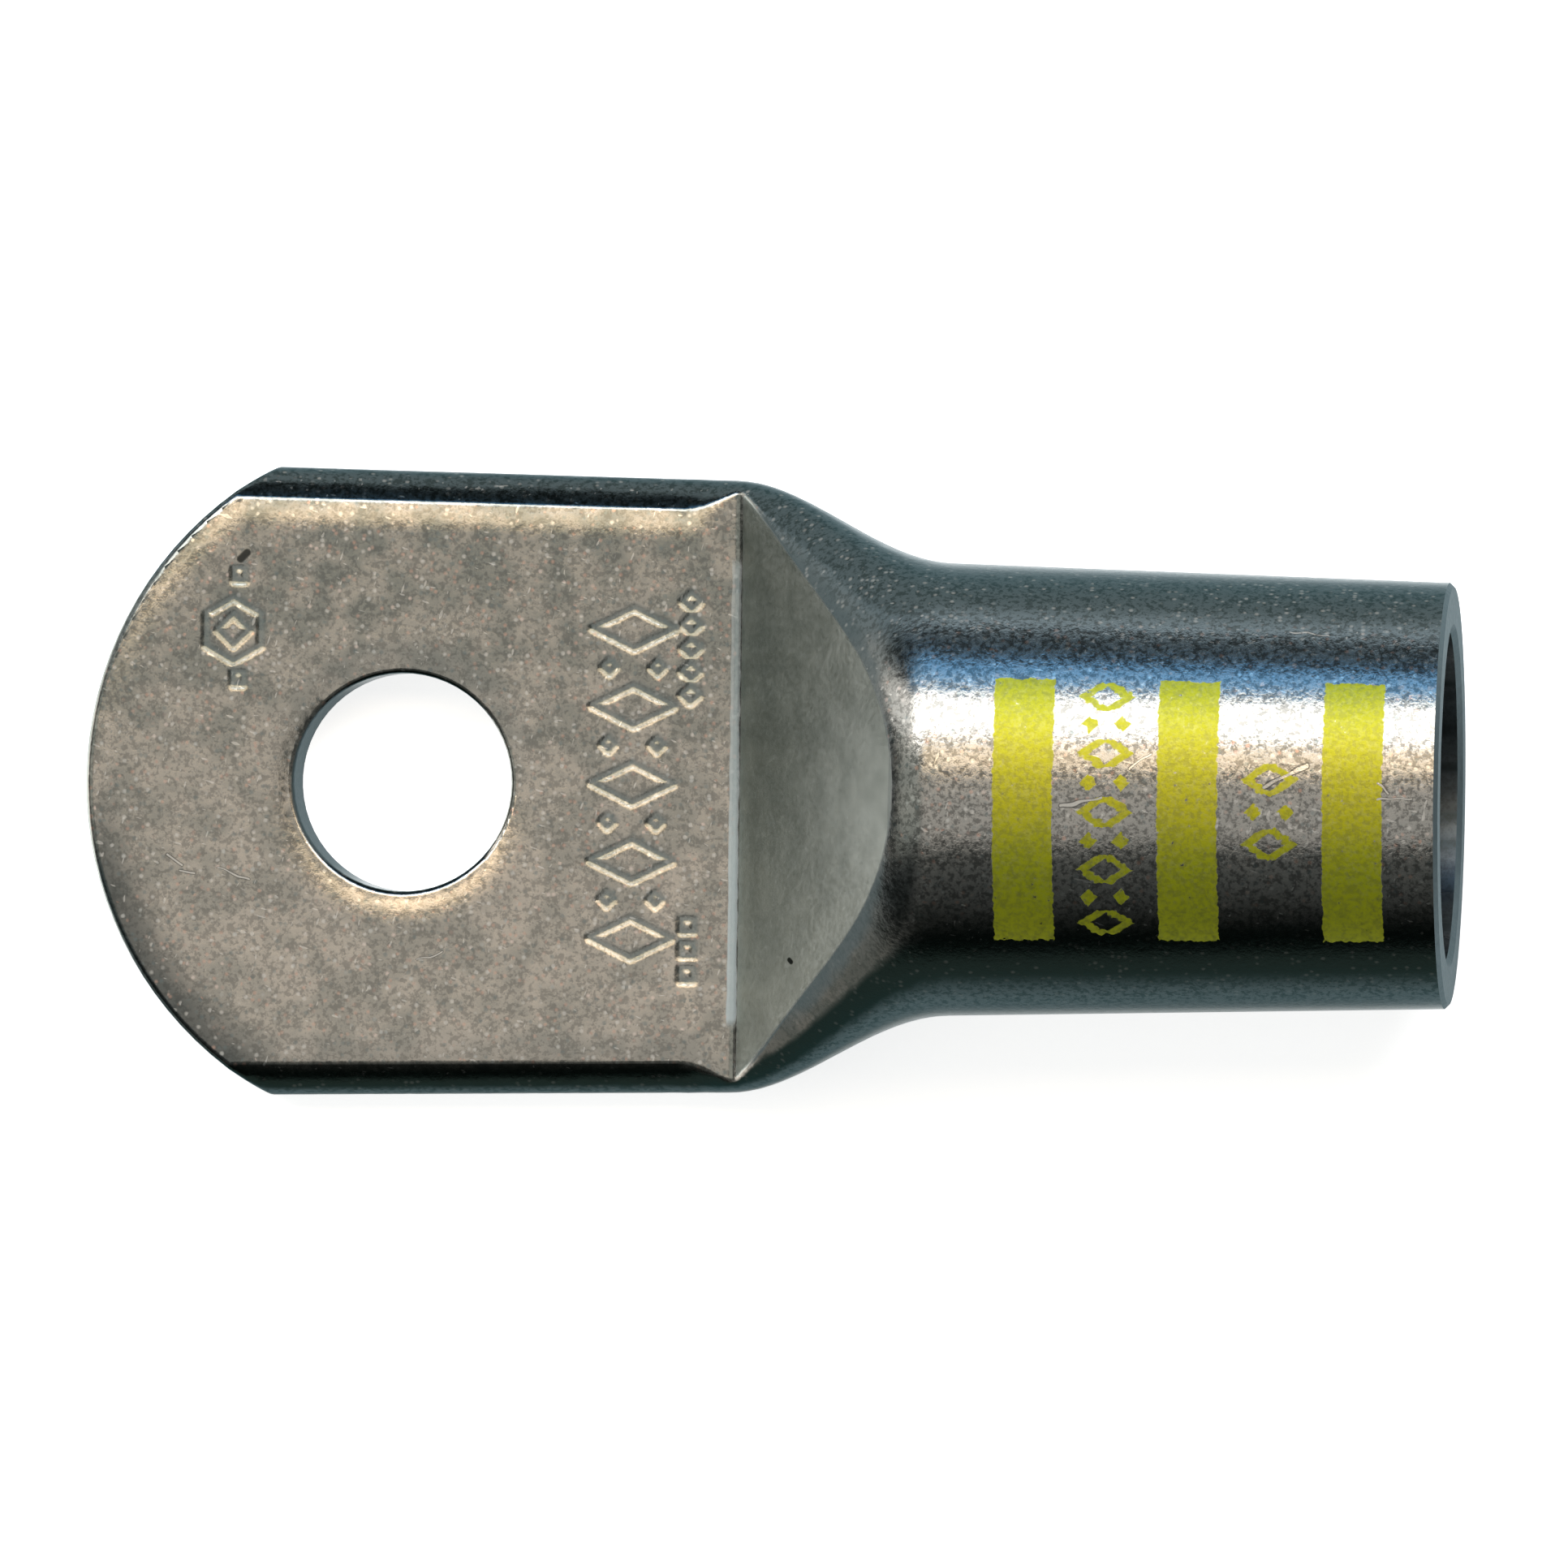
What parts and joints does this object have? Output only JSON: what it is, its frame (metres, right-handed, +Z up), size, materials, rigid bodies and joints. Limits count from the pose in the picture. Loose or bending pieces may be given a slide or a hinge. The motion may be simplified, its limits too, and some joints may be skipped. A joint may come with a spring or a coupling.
{
  "type": "copper tube cable lug",
  "caption": "One-piece tinned copper cable lug: flattened palm with a stud hole, sloped shoulder and an open round crimp barrel.",
  "frame": {"origin": "the stud hole's axis at the palm's seating face, the flat underside", "axes": "+X along the barrel to its open mouth, +Z up from the seating face to the marked side, +Y across the palm"},
  "size_m": [0.065, 0.0296, 0.0201],
  "materials": {
    "tinned_copper": "matte tin plating over copper, tumbled grain, fine scratches, three yellow paint bands round the barrel's top"
  },
  "bodies": {
    "root": {"lug_body": "tinned_copper"}
  },
  "joints": []
}
